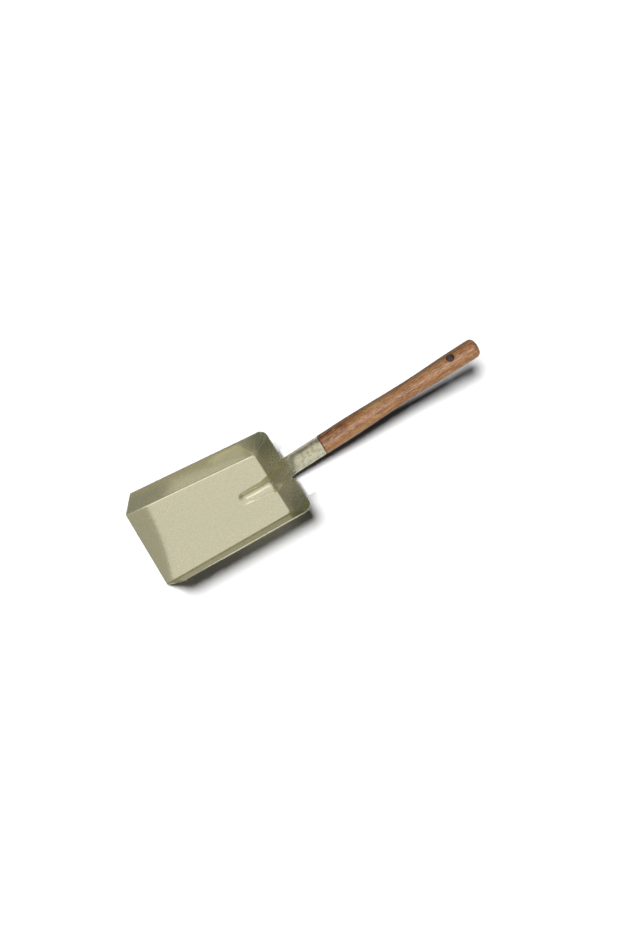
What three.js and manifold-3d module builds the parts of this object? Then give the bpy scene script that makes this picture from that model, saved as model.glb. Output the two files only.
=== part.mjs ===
// Fireplace shovel: a pan pressed from one sheet, whose back runs up a swaged ridge into a
// rolled socket, a turned wooden handle held in the socket, and the nail that fixes it.
// Millimetres, +Z up, +X from the lip towards the handle. The origin is the middle of the
// flat underside that the shovel rests on.
import * as THREE from 'three';
import Module from 'manifold-3d';

// Pan, inside the sheet
const SHEET = 1.0;            // thickness of the sheet
const FLOOR_LENGTH = 155.8;   // from the lip to the back fold
const LIP_WIDTH = 87.2;       // floor width at the lip
const HEEL_WIDTH = 77.0;      // floor width at the back fold
const PAN_DEPTH = 25.2;       // from the floor to the rim
const LIP_FLARE = 11.1;       // how far a side wall leans out at the lip
const HEEL_FLARE = 12.7;      // how far a side wall leans out at the back
const BACK_LEAN = 15.9;       // how far the back wall leans back
const LIP_RAKE = 10.2;        // how far a side wall's front edge leans back
const FOLD_REACH = 1.3;       // flat length that a fold takes up on either side
const HEEL_CORNER = 4.5;      // reach of the rounded back corners at the floor
const RIM_CORNER = 10;        // reach of the rounded back corners at the rim
const CORNER_LIFT = 1.5;      // how far drawing the corners has raised their rim
const CORNER_SPREAD = 13;     // how far from a corner its rim is raised
const CORNER_CREST = 5.2;     // how far from a corner it keeps its full height
const SOCKET_RISE = 0.7;      // how much the back rim rises towards the socket
const RISE_START = 40;        // distance from the centre line where that rise starts
const RISE_END = 12;          // and where it is complete

// Ridge that stiffens the floor and the back wall
const RIDGE_LENGTH = 41.3;    // from its nose to the back fold
const NOSE_WIDTH = 10.8;      // width behind the nose
const RIDGE_WIDTH = 15.2;     // width that its taper would reach at the back fold
const SPREAD_LEAD = 14;       // how far ahead of the back fold it starts to spread
const SPREAD_TRAIL = 6;       // how far behind the fold it is as wide as the socket
const NOSE_REACH = 7;         // length of the rounded nose
const NOSE_HEIGHT = 5.2;      // height that the crest line starts from
const HEEL_HEIGHT = 8.2;      // height that it would reach at the back fold
const WALL_STAND = 9.3;       // how far ahead of the back wall the crest climbs
const SPRING_STAND = 2.5;     // how far ahead of the back wall the arch springs
const CREST_BLEND = 7;        // how softly the crest's straight runs meet
const SPRING_BLEND = 4;       // how softly the arch's foot follows floor and wall
const ROLL_LEAD = 5;          // how far ahead of the rim the sides start to roll under

// Socket rolled from the same sheet
const SOCKET_TILT = THREE.MathUtils.degToRad(19);
const SOCKET_RADIUS = 10.8;   // outside
const SOCKET_LENGTH = 41.7;   // from the back rim to the mouth
const AXIS_RISE = 6.4;        // height of the axis above the back rim
const SEAM_WIDTH = 1.6;       // gap along the underside
const NOTCH_LENGTH = 6.5;     // relief cut behind the rim, each side of the socket
const NOTCH_RISE = 3.4;       // top of that cut above the rim
const NOTCH_DROP = 2.4;       // bottom of that cut below the rim
const NOTCH_LEAD = 4;         // how far ahead of the rim the cut starts
const NOTCH_BITE = 2;         // how far it reaches in through the socket's side
const NOTCH_MARGIN = 1.5;     // how far it runs out past the socket's side

// Handle
const FIT_GAP = 0.3;          // between the wood, the socket and the nail
const GRIP_LENGTH = 196.9;    // from the socket's mouth to the end
const SHOULDER_RADIUS = 11.1;
const SWELL_RADIUS = 11.2;
const SWELL_AT = 40;
const WAIST_RADIUS = 9.8;
const WAIST_AT = 110;
const END_RADIUS = 10.75;
const END_ROUND = 6;          // length of the rounded end
const END_FLAT_RADIUS = 4;
const SHOULDER_CHAMFER = 0.5;
const TENON_LENGTH = 30;      // wood inside the socket
const TENON_CHAMFER = 1.5;
const HOLE_RADIUS = 4.4;      // hanging hole
const HOLE_FROM_END = 31;
const HOLE_CHAMFER = 0.6;

// Fixing nail, driven in beside the seam
const NAIL_FROM_MOUTH = 13;
const NAIL_TURN = THREE.MathUtils.degToRad(40);
const NAIL_SHANK_RADIUS = 1.1;
const NAIL_HEAD_RADIUS = 2.8;
const NAIL_HEAD_HEIGHT = 1.2;
const NAIL_LENGTH = 12;
const NAIL_POINT = 2;         // length of the point
const NAIL_TIP_RADIUS = 0.2;

// Smoothness of the round shapes
const CORNER_STEPS = 8;
const FOLD_STEPS = 4;
const BACK_STEPS = 10;
const RIDGE_SIDES = 48;
const RIDGE_STEP = 1.6;
const NOSE_STEPS = 8;
const TURNED_SIDES = 48;
const BORE_SIDES = 24;
const GRIP_STEPS = 24;
const END_STEPS = 6;
const HEAD_STEPS = 4;
const CLEAR = 8;              // how far a cutting shape runs past what it cuts

const rimX = FLOOR_LENGTH + BACK_LEAN;
const rimZ = SHEET + PAN_DEPTH;
const mouth = new THREE.Vector2(
  rimX + SOCKET_LENGTH * Math.cos(SOCKET_TILT),
  rimZ + AXIS_RISE + SOCKET_LENGTH * Math.sin(SOCKET_TILT),
);
const noseX = FLOOR_LENGTH - RIDGE_LENGTH;

const wasm = await Module();
wasm.setup();

// Solids

function solidFromRings(rings) {
  const sides = rings[0].length;
  const points = rings.flat();
  const triangles = [];
  for (let ring = 0; ring + 1 < rings.length; ring += 1) {
    for (let side = 0; side < sides; side += 1) {
      const next = (side + 1) % sides;
      const low = ring * sides;
      const high = low + sides;
      triangles.push(low + side, low + next, high + next);
      triangles.push(low + side, high + next, high + side);
    }
  }
  for (const [ring, turn] of [[0, -1], [rings.length - 1, 1]]) {
    const centre = new THREE.Vector3();
    rings[ring].forEach((point) => centre.addScaledVector(point, 1 / sides));
    const hub = points.push(centre) - 1;
    for (let side = 0; side < sides; side += 1) {
      const here = ring * sides + side;
      const next = ring * sides + (side + 1) % sides;
      triangles.push(hub, turn > 0 ? here : next, turn > 0 ? next : here);
    }
  }
  return solidFromTriangles(points, triangles);
}

function solidFromTriangles(points, triangles) {
  const vertProperties = new Float32Array(points.flatMap((point) => [point.x, point.y, point.z]));
  const triVerts = new Uint32Array(triangles);
  return new wasm.Manifold(new wasm.Mesh({ numProp: 3, vertProperties, triVerts }));
}

function block(low, high) {
  const ring = (z) => [
    new THREE.Vector3(low.x, low.y, z),
    new THREE.Vector3(high.x, low.y, z),
    new THREE.Vector3(high.x, high.y, z),
    new THREE.Vector3(low.x, high.y, z),
  ];
  return solidFromRings([ring(low.z), ring(high.z)]);
}

// A solid of revolution about +X. The profile holds (distance along X, radius) pairs, and its
// rings lie in planes across X.
function turned(profile, sides) {
  return solidFromRings(profile.map(([along, radius]) => {
    const ring = [];
    for (let side = 0; side < sides; side += 1) {
      const angle = (2 * Math.PI * side) / sides;
      ring.push(new THREE.Vector3(along, radius * Math.cos(angle), radius * Math.sin(angle)));
    }
    return ring;
  }));
}

function placed(solid, matrix) {
  return solid.transform(matrix.toArray());
}

function geometryOf(solid) {
  const { vertProperties, triVerts, numProp } = solid.getMesh();
  const geometry = new THREE.BufferGeometry();
  geometry.setAttribute('position', new THREE.BufferAttribute(vertProperties, numProp));
  geometry.setIndex(new THREE.BufferAttribute(triVerts, 1));
  geometry.computeVertexNormals();
  return geometry;
}

// Curves that run into one another

// The smaller of two heights, rounded where they come within reach of each other.
function softMin(a, b, reach) {
  const near = Math.max(reach - Math.abs(a - b), 0) / reach;
  return Math.min(a, b) - (near * near * reach) / 4;
}

function softMax(a, b, reach) {
  return -softMin(-a, -b, reach);
}

// A quarter ellipse from 0 at the start to 1 where it runs level.
function noseShape(distance) {
  const left = 1 - THREE.MathUtils.clamp(distance / NOSE_REACH, 0, 1);
  return Math.sqrt(1 - left * left);
}

// Pan

// The pan's plan at one height above the floor. The walls stand off the folds by a share of
// their lean, plus a constant that is negative where a fold's radius draws them in.
function panOutline(height, standOff, frontX, rimShare) {
  const slope = height / PAN_DEPTH;
  const half = (x) => {
    const along = x / FLOOR_LENGTH;
    return THREE.MathUtils.lerp(LIP_WIDTH / 2, HEEL_WIDTH / 2, along)
      + slope * THREE.MathUtils.lerp(LIP_FLARE, HEEL_FLARE, along) + standOff.side;
  };
  const backX = FLOOR_LENGTH + slope * BACK_LEAN + standOff.back;
  const reach = THREE.MathUtils.lerp(HEEL_CORNER, RIM_CORNER, rimShare);
  const outline = new THREE.Shape();
  outline.moveTo(frontX, half(frontX));
  outline.lineTo(backX - CORNER_SPREAD, half(backX - CORNER_SPREAD));
  outline.lineTo(backX - reach, half(backX - reach));
  outline.quadraticCurveTo(backX, half(backX), backX, half(backX) - reach);
  for (let step = 1; step <= BACK_STEPS; step += 1) {
    const y = (half(backX) - reach) * (1 - (2 * step) / BACK_STEPS);
    outline.lineTo(backX, y);
  }
  outline.quadraticCurveTo(backX, -half(backX), backX - reach, -half(backX - reach));
  outline.lineTo(backX - CORNER_SPREAD, -half(backX - CORNER_SPREAD));
  outline.lineTo(frontX, -half(frontX));
  return outline.getPoints(CORNER_STEPS);
}

// Height that drawing adds to the rim: most at the back corners, nothing a spread away, and a
// little along the back beside the socket.
function rimLift(point) {
  const corner = new THREE.Vector2(rimX, HEEL_WIDTH / 2 + HEEL_FLARE);
  const away = corner.distanceTo(new THREE.Vector2(point.x, Math.abs(point.y)));
  const drawn = 1 - THREE.MathUtils.smootherstep(away, CORNER_CREST, CORNER_SPREAD);
  const risen = 1 - THREE.MathUtils.smoothstep(Math.abs(point.y), RISE_END, RISE_START);
  const atBack = point.x >= rimX ? 1 : 0;
  return CORNER_LIFT * drawn + SOCKET_RISE * risen * atBack;
}

// The pan's inner or outer faces as a closed solid: the fold in steps, then the wall up to the
// given height, with the rim raised at the corners where asked.
function panSolid({ thickness, frontAt, topHeight, lifted }) {
  const stand = (lean) => {
    const slope = lean / PAN_DEPTH;
    return thickness * (Math.hypot(1, slope) - slope);
  };
  const floorZ = SHEET - thickness;
  const reach = FOLD_REACH + stand((LIP_FLARE + HEEL_FLARE) / 2);
  const side = stand((LIP_FLARE + HEEL_FLARE) / 2);
  const back = stand(BACK_LEAN);
  const rings = [];
  for (let step = 0; step <= FOLD_STEPS; step += 1) {
    const share = step / FOLD_STEPS;
    const height = reach * share * share;
    const draw = reach * (1 - share) * (1 - share);
    const standOff = { side: side - draw, back: back - draw };
    const outline = panOutline(height, standOff, frontAt(floorZ + height), 0);
    rings.push(outline.map((point) => new THREE.Vector3(point.x, point.y, floorZ + height)));
  }
  const top = topHeight - floorZ;
  const outline = panOutline(top, { side, back }, frontAt(topHeight), 1);
  rings.push(outline.map((point) => {
    const lift = lifted ? rimLift(point) : 0;
    return new THREE.Vector3(point.x, point.y, topHeight + lift);
  }));
  return solidFromRings(rings.map((ring) => ring.reverse()));
}

// Ridge and socket

function axisHeight(x) {
  return mouth.y + (x - mouth.x) * Math.tan(SOCKET_TILT);
}

function wallHeight(x, stand) {
  return SHEET + ((x - FLOOR_LENGTH + stand) * PAN_DEPTH) / BACK_LEAN;
}

// The crest rises along the floor, climbs parallel to the back wall and runs level with the
// socket's top.
function crestHeight(x) {
  const along = (x - noseX) / RIDGE_LENGTH;
  const floorRun = SHEET + THREE.MathUtils.lerp(NOSE_HEIGHT, HEEL_HEIGHT, along);
  const wallRun = wallHeight(x, WALL_STAND);
  const socketRun = axisHeight(x) + SOCKET_RADIUS / Math.cos(SOCKET_TILT);
  return softMin(softMax(floorRun, wallRun, CREST_BLEND), socketRun, CREST_BLEND);
}

// The height at which the arch is widest: on the floor, then up the back wall, then on the
// socket's axis.
function springHeight(x) {
  const wallRun = softMax(SHEET, wallHeight(x, SPRING_STAND), SPRING_BLEND);
  return softMin(wallRun, axisHeight(x), SPRING_BLEND);
}

// The ridge tapers evenly from its nose, and spreads to the socket's width at the back fold.
function ridgeHalfWidth(x) {
  const taper = THREE.MathUtils.lerp(NOSE_WIDTH / 2, RIDGE_WIDTH / 2, (x - noseX) / RIDGE_LENGTH);
  const share = THREE.MathUtils.smoothstep(x, FLOOR_LENGTH - SPREAD_LEAD, FLOOR_LENGTH + SPREAD_TRAIL);
  return THREE.MathUtils.lerp(taper, SOCKET_RADIUS, share);
}

// One upright section across the ridge and socket. Above the spring line it is an arch. Below
// it the sides run straight down through the sheet, and turn into the socket's lower half
// behind the back wall.
function ridgeRing(x, inset, deepZ) {
  const nose = noseShape(x - noseX - inset);
  const grade = (crestHeight(x + SHEET) - crestHeight(x - SHEET)) / (2 * SHEET);
  const drop = inset * Math.hypot(1, grade);
  const spring = springHeight(x);
  const half = (ridgeHalfWidth(x) - inset) * nose;
  const rise = (crestHeight(x) - drop - spring) * nose;
  const under = (SOCKET_RADIUS - inset) / Math.cos(SOCKET_TILT);
  const rolled = THREE.MathUtils.smoothstep(x, rimX - ROLL_LEAD, rimX + NOTCH_LENGTH / 2);
  const ring = [];
  for (let side = 0; side < RIDGE_SIDES; side += 1) {
    const angle = (2 * Math.PI * side) / RIDGE_SIDES;
    const across = Math.cos(angle);
    const up = Math.sin(angle);
    if (up >= 0) {
      ring.push(new THREE.Vector3(x, half * across, spring + rise * up));
    } else {
      const square = Math.max(Math.abs(across), Math.abs(up));
      const straightY = (half * across) / square;
      const straightZ = spring + ((spring - deepZ) * up) / square;
      const y = THREE.MathUtils.lerp(straightY, half * across, rolled);
      const z = THREE.MathUtils.lerp(straightZ, spring + under * up, rolled);
      ring.push(new THREE.Vector3(x, y, z));
    }
  }
  return ring;
}

// Rings at even turns round the nose's quarter ellipse, then at even steps up to the socket's
// straight run, and a last one past its mouth.
function ridgeSolid(inset, deepZ) {
  const start = noseX + inset;
  const rings = [];
  for (let step = 1; step <= NOSE_STEPS; step += 1) {
    const angle = (Math.PI / 2) * (step / NOSE_STEPS);
    rings.push(ridgeRing(start + NOSE_REACH * (1 - Math.cos(angle)), inset, deepZ));
  }
  const bodyStart = start + NOSE_REACH;
  const bodyEnd = rimX + NOTCH_LENGTH + CREST_BLEND;
  const steps = Math.round((bodyEnd - bodyStart) / RIDGE_STEP);
  for (let step = 1; step <= steps; step += 1) {
    rings.push(ridgeRing(THREE.MathUtils.lerp(bodyStart, bodyEnd, step / steps), inset, deepZ));
  }
  rings.push(ridgeRing(mouth.x + SOCKET_RADIUS + CLEAR, inset, deepZ));
  return solidFromRings(rings);
}

// Places a shape made along +X on the socket's axis, with its zero at the mouth.
function onAxis() {
  const matrix = new THREE.Matrix4().makeRotationY(-SOCKET_TILT);
  matrix.setPosition(mouth.x, 0, mouth.y);
  return matrix;
}

// Places a shape made along +X as the nail: square to the axis, pointing into the wood.
function onNail() {
  const turn = new THREE.Matrix4().makeRotationX(NAIL_TURN);
  const upright = new THREE.Matrix4().makeRotationY(-Math.PI / 2);
  const along = new THREE.Matrix4().makeTranslation(-NAIL_FROM_MOUTH, 0, 0);
  return onAxis().multiply(along).multiply(turn).multiply(upright);
}

function nailHole() {
  const radius = NAIL_SHANK_RADIUS + FIT_GAP;
  const start = -SOCKET_RADIUS - CLEAR;
  const end = -SOCKET_RADIUS + NAIL_LENGTH + FIT_GAP;
  return placed(turned([[start, radius], [end, radius]], BORE_SIDES), onNail());
}

function bladeSolid() {
  const rakedFront = (z) => (LIP_RAKE * Math.max(z - SHEET, 0)) / PAN_DEPTH;
  const openFront = () => -CLEAR;
  const aboveRim = rimZ + CORNER_LIFT + CLEAR;
  const outside = panSolid({ thickness: SHEET, frontAt: rakedFront, topHeight: rimZ, lifted: true });
  const inside = panSolid({ thickness: 0, frontAt: openFront, topHeight: aboveRim, lifted: false });
  const topZ = mouth.y + SOCKET_RADIUS + 2 * CLEAR;
  const farEnd = new THREE.Vector3(mouth.x + 2 * CLEAR, SOCKET_RADIUS + CLEAR, topZ);
  const overRim = block(new THREE.Vector3(noseX, -farEnd.y, rimZ), farEnd);
  const deepZ = -CLEAR;

  let blade = ridgeSolid(0, deepZ).intersect(outside.add(overRim)).add(outside.subtract(inside));
  blade = blade.subtract(ridgeSolid(SHEET, deepZ));

  const pastMouth = block(
    new THREE.Vector3(0, -farEnd.y, -farEnd.y),
    new THREE.Vector3(SOCKET_RADIUS + 2 * CLEAR, farEnd.y, farEnd.y),
  );
  const seam = block(
    new THREE.Vector3(-SOCKET_LENGTH, -SEAM_WIDTH / 2, -SOCKET_RADIUS - CLEAR),
    new THREE.Vector3(CLEAR, SEAM_WIDTH / 2, 0),
  );
  blade = blade.subtract(placed(pastMouth, onAxis())).subtract(placed(seam, onAxis()));
  const inner = SOCKET_RADIUS - SHEET - NOTCH_BITE;
  const outer = SOCKET_RADIUS + NOTCH_MARGIN;
  for (const [right, left] of [[inner, outer], [-outer, -inner]]) {
    blade = blade.subtract(block(
      new THREE.Vector3(rimX - NOTCH_LEAD, right, rimZ - NOTCH_DROP),
      new THREE.Vector3(rimX + NOTCH_LENGTH, left, rimZ + NOTCH_RISE),
    ));
  }
  return blade.subtract(nailHole());
}

// Handle

// The turned outline of the grip, as (distance from the mouth, radius) pairs.
function gripProfile() {
  const swell = new THREE.SplineCurve([
    new THREE.Vector2(FIT_GAP + SHOULDER_CHAMFER, SHOULDER_RADIUS),
    new THREE.Vector2(SWELL_AT, SWELL_RADIUS),
    new THREE.Vector2(WAIST_AT, WAIST_RADIUS),
    new THREE.Vector2(GRIP_LENGTH - HOLE_FROM_END, END_RADIUS),
    new THREE.Vector2(GRIP_LENGTH - END_ROUND, END_RADIUS),
  ]);
  const profile = swell.getPoints(GRIP_STEPS).map((point) => [point.x, point.y]);
  for (let step = 1; step <= END_STEPS; step += 1) {
    const angle = (Math.PI / 2) * (step / END_STEPS);
    profile.push([
      GRIP_LENGTH - END_ROUND * (1 - Math.sin(angle)),
      END_FLAT_RADIUS + (END_RADIUS - END_FLAT_RADIUS) * Math.cos(angle),
    ]);
  }
  return profile;
}

function handleSolid() {
  const tenonRadius = SOCKET_RADIUS - SHEET - FIT_GAP;
  const wood = turned([
    [-TENON_LENGTH, tenonRadius - TENON_CHAMFER],
    [TENON_CHAMFER - TENON_LENGTH, tenonRadius],
    [FIT_GAP, tenonRadius],
    [FIT_GAP, SHOULDER_RADIUS - SHOULDER_CHAMFER],
    ...gripProfile(),
  ], TURNED_SIDES);
  const reach = END_RADIUS + CLEAR;
  const mouthRadius = HOLE_RADIUS + HOLE_CHAMFER;
  const half = [[HOLE_CHAMFER, HOLE_RADIUS], [-HOLE_CHAMFER, mouthRadius], [-reach, mouthRadius]];
  const profile = [
    ...half.map(([along, radius]) => [along - END_RADIUS, radius]).reverse(),
    ...half.map(([along, radius]) => [END_RADIUS - along, radius]),
  ];
  const upright = new THREE.Matrix4().makeRotationY(-Math.PI / 2);
  upright.setPosition(GRIP_LENGTH - HOLE_FROM_END, 0, 0);
  const hole = placed(turned(profile, BORE_SIDES), upright);
  return placed(wood.subtract(hole), onAxis()).subtract(nailHole());
}

// Nail

// A head domed as a quarter ellipse, the shank under it and the point.
function nailSolid() {
  const seat = -SOCKET_RADIUS - FIT_GAP;
  const tip = -SOCKET_RADIUS + NAIL_LENGTH;
  const profile = [];
  for (let step = 1; step <= HEAD_STEPS; step += 1) {
    const angle = (Math.PI / 2) * (step / HEAD_STEPS);
    profile.push([seat - NAIL_HEAD_HEIGHT * Math.cos(angle), NAIL_HEAD_RADIUS * Math.sin(angle)]);
  }
  profile.push([seat, NAIL_SHANK_RADIUS], [tip - NAIL_POINT, NAIL_SHANK_RADIUS], [tip, NAIL_TIP_RADIUS]);
  return placed(turned(profile, BORE_SIDES), onNail());
}

// Assembly

const shovel = new THREE.Group();
shovel.name = 'fireplace_shovel';
shovel.position.x = -FLOOR_LENGTH / 2;

function addPiece(name, solid, look) {
  const piece = new THREE.Mesh(geometryOf(solid), new THREE.MeshStandardMaterial(look));
  piece.name = name;
  shovel.add(piece);
}

addPiece('blade', bladeSolid(), { color: 0xbdb896, roughness: 0.38, metalness: 0.9 });
addPiece('handle', handleSolid(), { color: 0xa56a42, roughness: 0.55, metalness: 0.0 });
addPiece('handle_nail', nailSolid(), { color: 0x9a9a96, roughness: 0.4, metalness: 1.0 });

export default shovel;
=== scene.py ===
import math

import bmesh
import bpy
import numpy as np
from mathutils import Matrix, Vector


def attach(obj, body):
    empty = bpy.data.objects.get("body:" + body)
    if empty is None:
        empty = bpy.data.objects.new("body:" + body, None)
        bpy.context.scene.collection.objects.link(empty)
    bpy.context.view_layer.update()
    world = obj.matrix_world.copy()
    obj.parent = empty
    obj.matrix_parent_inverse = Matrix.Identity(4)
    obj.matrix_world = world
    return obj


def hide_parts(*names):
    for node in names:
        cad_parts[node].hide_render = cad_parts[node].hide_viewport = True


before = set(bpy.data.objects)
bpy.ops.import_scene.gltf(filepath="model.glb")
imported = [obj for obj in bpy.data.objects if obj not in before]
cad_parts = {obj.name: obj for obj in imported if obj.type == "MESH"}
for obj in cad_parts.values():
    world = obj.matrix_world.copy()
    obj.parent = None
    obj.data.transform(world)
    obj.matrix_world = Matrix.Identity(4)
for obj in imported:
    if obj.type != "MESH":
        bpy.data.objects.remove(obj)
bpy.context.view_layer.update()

# Studio
# The shovel lies on two sheets of white paper. Each sheet has a lamp that draws the shadow on it,
# two other lamps light the metal and the wood, and the metal mirrors a dome that is bright above
# the photographer's right and three grey cards round the lip.

CAMERA_PLACE = Vector((-0.3978, -0.4166, 1.4981))
CAMERA_AIM = Vector((0.1265, -0.0015, 0.0))
CAMERA_ROLL = math.radians(21.42)
CAMERA_LENS = 58.0            # millimetres, for a picture whose long side is the sensor's
CAMERA_SENSOR = 36.0
CAMERA_NEAR = 0.05
CAMERA_FAR = 50.0

line_of_sight = CAMERA_AIM - CAMERA_PLACE
camera = bpy.data.objects.new("camera", bpy.data.cameras.new("camera"))
camera.data.lens = CAMERA_LENS
camera.data.sensor_width = CAMERA_SENSOR
camera.data.clip_start = CAMERA_NEAR
camera.data.clip_end = CAMERA_FAR
camera.rotation_mode = "QUATERNION"
camera.location = CAMERA_PLACE
upright_view = line_of_sight.to_track_quat("-Z", "Y")
camera.rotation_quaternion = upright_view @ Matrix.Rotation(CAMERA_ROLL, 3, "Z").to_quaternion()
bpy.context.scene.collection.objects.link(camera)
bpy.context.scene.camera = camera
bpy.context.scene.view_settings.view_transform = "Standard"

MM = 0.001
PAN_PAPER_LAMP_FROM = Vector((-0.42, 0.4, 1.0))
PAN_PAPER_LAMP_SPREAD = math.radians(36)
GRIP_PAPER_LAMP_FROM = Vector((-0.42, -0.1, 1.0))
GRIP_PAPER_LAMP_SPREAD = math.radians(12)
PAPER_LAMP_STRENGTH = 4.1
METAL_LAMP_FROM = Vector((0.35, -0.65, 0.68))
METAL_LAMP_STRENGTH = 4.5
WOOD_LAMP_FROM = Vector((-0.3, -0.46, 0.84))
WOOD_LAMP_STRENGTH = 2.45
SHOVEL_LAMP_SPREAD = math.radians(30)

pan_paper_parts = bpy.data.collections.new("pan_paper_parts")
grip_paper_parts = bpy.data.collections.new("grip_paper_parts")
metal_parts = bpy.data.collections.new("metal_parts")
wood_parts = bpy.data.collections.new("wood_parts")


def soft_lamp(name, come_from, strength, spread, lit, shadows=True, gloss=False):
    """A far lamp from this direction that lights only the objects of one collection. Glossy
    faces mirror it only where that is asked for."""
    lamp = bpy.data.objects.new(name, bpy.data.lights.new(name, "SUN"))
    lamp.data.energy = strength
    lamp.data.angle = spread
    lamp.rotation_mode = "QUATERNION"
    lamp.rotation_quaternion = come_from.to_track_quat("Z", "Y")
    lamp.data.use_shadow = shadows
    lamp.visible_glossy = gloss
    lamp.light_linking.receiver_collection = lit
    bpy.context.scene.collection.objects.link(lamp)


soft_lamp("pan_paper_lamp", PAN_PAPER_LAMP_FROM, PAPER_LAMP_STRENGTH,
          PAN_PAPER_LAMP_SPREAD, pan_paper_parts)
soft_lamp("grip_paper_lamp", GRIP_PAPER_LAMP_FROM, PAPER_LAMP_STRENGTH,
          GRIP_PAPER_LAMP_SPREAD, grip_paper_parts)
soft_lamp("metal_lamp", METAL_LAMP_FROM, METAL_LAMP_STRENGTH,
          SHOVEL_LAMP_SPREAD, metal_parts, shadows=False)
soft_lamp("wood_lamp", WOOD_LAMP_FROM, WOOD_LAMP_STRENGTH,
          SHOVEL_LAMP_SPREAD, wood_parts, gloss=True)


class Nodes:
    """A material's or world's node tree, with short calls that add a node and join it up."""

    def __init__(self, owner):
        """Clears the tree of a material or a world."""
        owner.use_nodes = True
        self.tree = owner.node_tree
        self.tree.nodes.clear()

    def add(self, kind, settings=None, **inputs):
        """One node of this kind. An input is a value or another node's output socket, and is
        named, or numbered as i0, i1 and so on."""
        node = self.tree.nodes.new(kind)
        for name, value in (settings or {}).items():
            setattr(node, name, value)
        for name, value in inputs.items():
            by_number = name[0] == "i" and name[1:].isdigit()
            key = int(name[1:]) if by_number else name.replace("_", " ")
            self.join(value, node.inputs[key])
        return node

    def join(self, value, socket):
        """Puts a value into a socket, or links an output socket to it."""
        if isinstance(value, bpy.types.NodeSocket):
            self.tree.links.new(value, socket)
        else:
            socket.default_value = value

    def math(self, operation, a, b=0.0):
        """One step of arithmetic on numbers."""
        return self.add("ShaderNodeMath", {"operation": operation}, i0=a, i1=b).outputs[0]

    def spread(self, value, low, high, to_low=0.0, to_high=1.0):
        """Carries the range low..high to to_low..to_high with soft ends, clamped."""
        settings = {"interpolation_type": "SMOOTHSTEP"}
        node = self.add("ShaderNodeMapRange", settings, Value=value)
        node.inputs["From Min"].default_value = low
        node.inputs["From Max"].default_value = high
        self.join(to_low, node.inputs["To Min"])
        self.join(to_high, node.inputs["To Max"])
        return node.outputs["Result"]

    def blend(self, share, a, b, how="MIX"):
        """Colour a, turning into colour b as the share goes from 0 to 1."""
        settings = {"data_type": "RGBA", "blend_type": how}
        node = self.add("ShaderNodeMix", settings)
        self.join(share, node.inputs[0])
        self.join(a, node.inputs[6])
        self.join(b, node.inputs[7])
        return node.outputs[2]

    def noise(self, place, scale, detail=2.0, roughness=0.5):
        """Cloudy values round 0.5, at so many clouds a metre."""
        return self.add("ShaderNodeTexNoise", Vector=place, Scale=scale, Detail=detail,
                        Roughness=roughness).outputs["Fac"]


def grey(level):
    """A neutral colour."""
    return (level, level, level, 1.0)


def srgb(red, green, blue):
    """A colour written in 0..255 display values, as the linear values that shaders take."""
    def linear(value):
        """One channel by the display standard: a straight foot, then a power of 2.4."""
        share = value / 255
        return share / 12.92 if share <= 0.04045 else ((share + 0.055) / 1.055) ** 2.4
    return (linear(red), linear(green), linear(blue), 1.0)


SKY_FROM = Vector((0.1, -0.35, 0.93)).normalized()
SKY_DARK = (0.36, 0.36, 0.34, 1.0)   # what metal mirrors away from the bright top of the dome
SKY_BRIGHT = (1.0, 1.0, 0.98, 1.0)
SKY_INNER = math.radians(40)
SKY_OUTER = math.radians(77)
WINDOW = (1.0, 1.05, 1.2, 1.0)     # bright window low on the right of the pan
WINDOW_LOW = 0.38             # its upper edge fades between these sines of elevation
WINDOW_HIGH = 0.52
WINDOW_SIDE_FADES = 0.5       # its left edge fades between these shares of straight right
WINDOW_SIDE_FULL = 0.8
WINDOW_FRONT_FADES = -0.3     # and its front edge between these shares of straight back
WINDOW_FRONT_FULL = 0.0
KEY_FROM = Vector((0.28, -0.29, 0.91)).normalized()
KEY_LEVEL = 0.8               # a brighter spot on the dome, which the ridge and nose mirror
KEY_INNER = math.radians(4)
KEY_OUTER = math.radians(21)
PAPER_FILL = 0.013            # what the dome adds to matt surfaces

world = bpy.data.worlds.new("studio")
bpy.context.scene.world = world
dome = Nodes(world)
rays = dome.add("ShaderNodeLightPath").outputs
direction = dome.add("ShaderNodeTexCoord").outputs["Generated"]
heading = dome.add("ShaderNodeSeparateXYZ", Vector=direction).outputs


def nearness(centre, inner, outer):
    """1 within the inner angle of a direction, fading to 0 at the outer angle."""
    settings = {"operation": "DOT_PRODUCT"}
    towards = dome.add("ShaderNodeVectorMath", settings, i0=direction, i1=centre)
    return dome.spread(towards.outputs["Value"], math.cos(outer), math.cos(inner))


sky = dome.blend(nearness(SKY_FROM, SKY_INNER, SKY_OUTER), SKY_DARK, SKY_BRIGHT)
right = dome.math("MULTIPLY", heading["Y"], -1.0)
to_right = dome.spread(right, WINDOW_SIDE_FADES, WINDOW_SIDE_FULL)
to_back = dome.spread(heading["X"], WINDOW_FRONT_FADES, WINDOW_FRONT_FULL)
below = dome.spread(heading["Z"], WINDOW_LOW, WINDOW_HIGH, 1.0, 0.0)
window = dome.math("MULTIPLY", dome.math("MULTIPLY", to_right, to_back), below)
sky = dome.blend(window, sky, WINDOW)
mirrored = dome.blend(nearness(KEY_FROM, KEY_INNER, KEY_OUTER), sky, grey(KEY_LEVEL), "ADD")
seen = dome.blend(rays["Is Glossy Ray"], grey(PAPER_FILL), mirrored)
seen = dome.blend(rays["Is Camera Ray"], seen, grey(1.0))
light = dome.add("ShaderNodeBackground", Color=seen)
dome.add("ShaderNodeOutputWorld", Surface=light.outputs[0])


def stage_mesh(name, points, faces, lit_with=None):
    """A part of the studio from points in metres."""
    mesh = bpy.data.meshes.new(name)
    mesh.from_pydata(points, [], faces)
    part = bpy.data.objects.new(name, mesh)
    bpy.context.scene.collection.objects.link(part)
    if lit_with is not None:
        lit_with.objects.link(part)
    return part


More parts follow.
